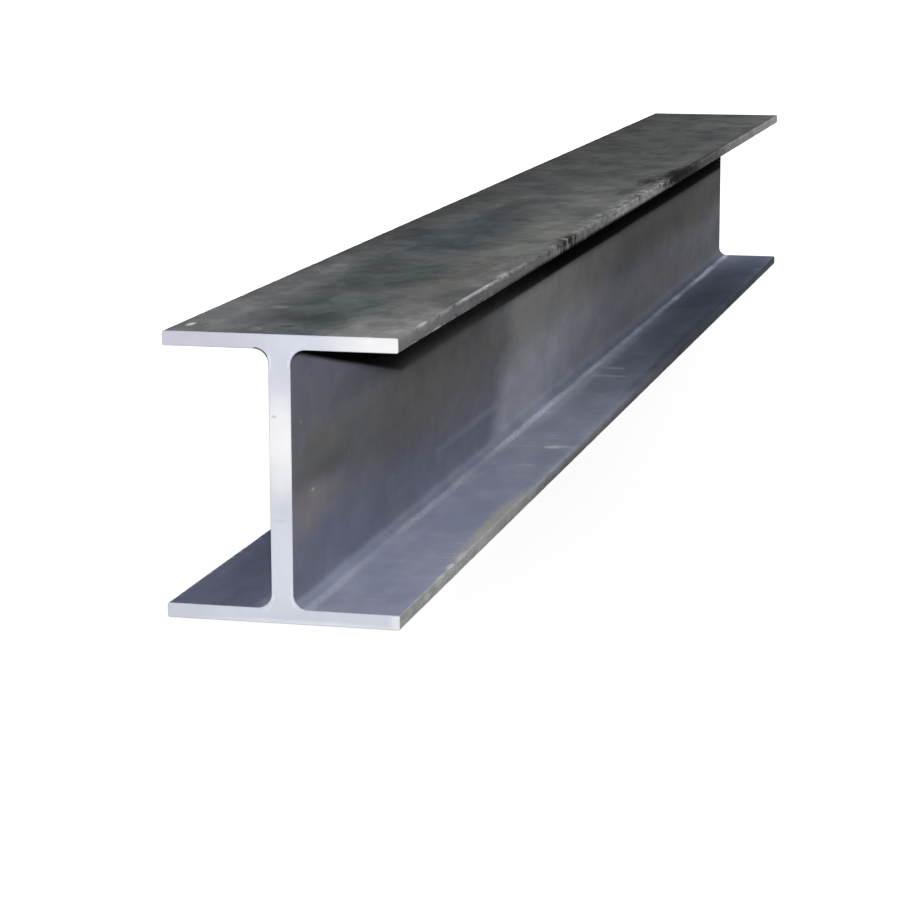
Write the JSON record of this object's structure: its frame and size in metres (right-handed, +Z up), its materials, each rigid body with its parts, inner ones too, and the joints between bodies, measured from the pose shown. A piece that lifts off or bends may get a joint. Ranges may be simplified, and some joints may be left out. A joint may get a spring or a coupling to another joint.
{
  "type": "wide flange beam",
  "caption": "Hot-rolled steel beam of H section with parallel flanges, filleted roots and sawn square ends, resting on its lower flange; carries bending loads.",
  "frame": {"origin": "middle of the lower flange's outer face, the face the beam rests on, halfway along its length", "axes": "+Z up, from the lower flange to the upper; +Y along the beam, with the end that faces the picture's viewer at -Y; +X across the flanges"},
  "size_m": [0.203, 2.4384, 0.245],
  "materials": {
    "rolled_steel": "dark blue-grey mill scale on the rolled faces, bright bare metal on the sawn ends"
  },
  "bodies": {
    "root": {"wide_flange_beam": "rolled_steel"}
  },
  "joints": []
}
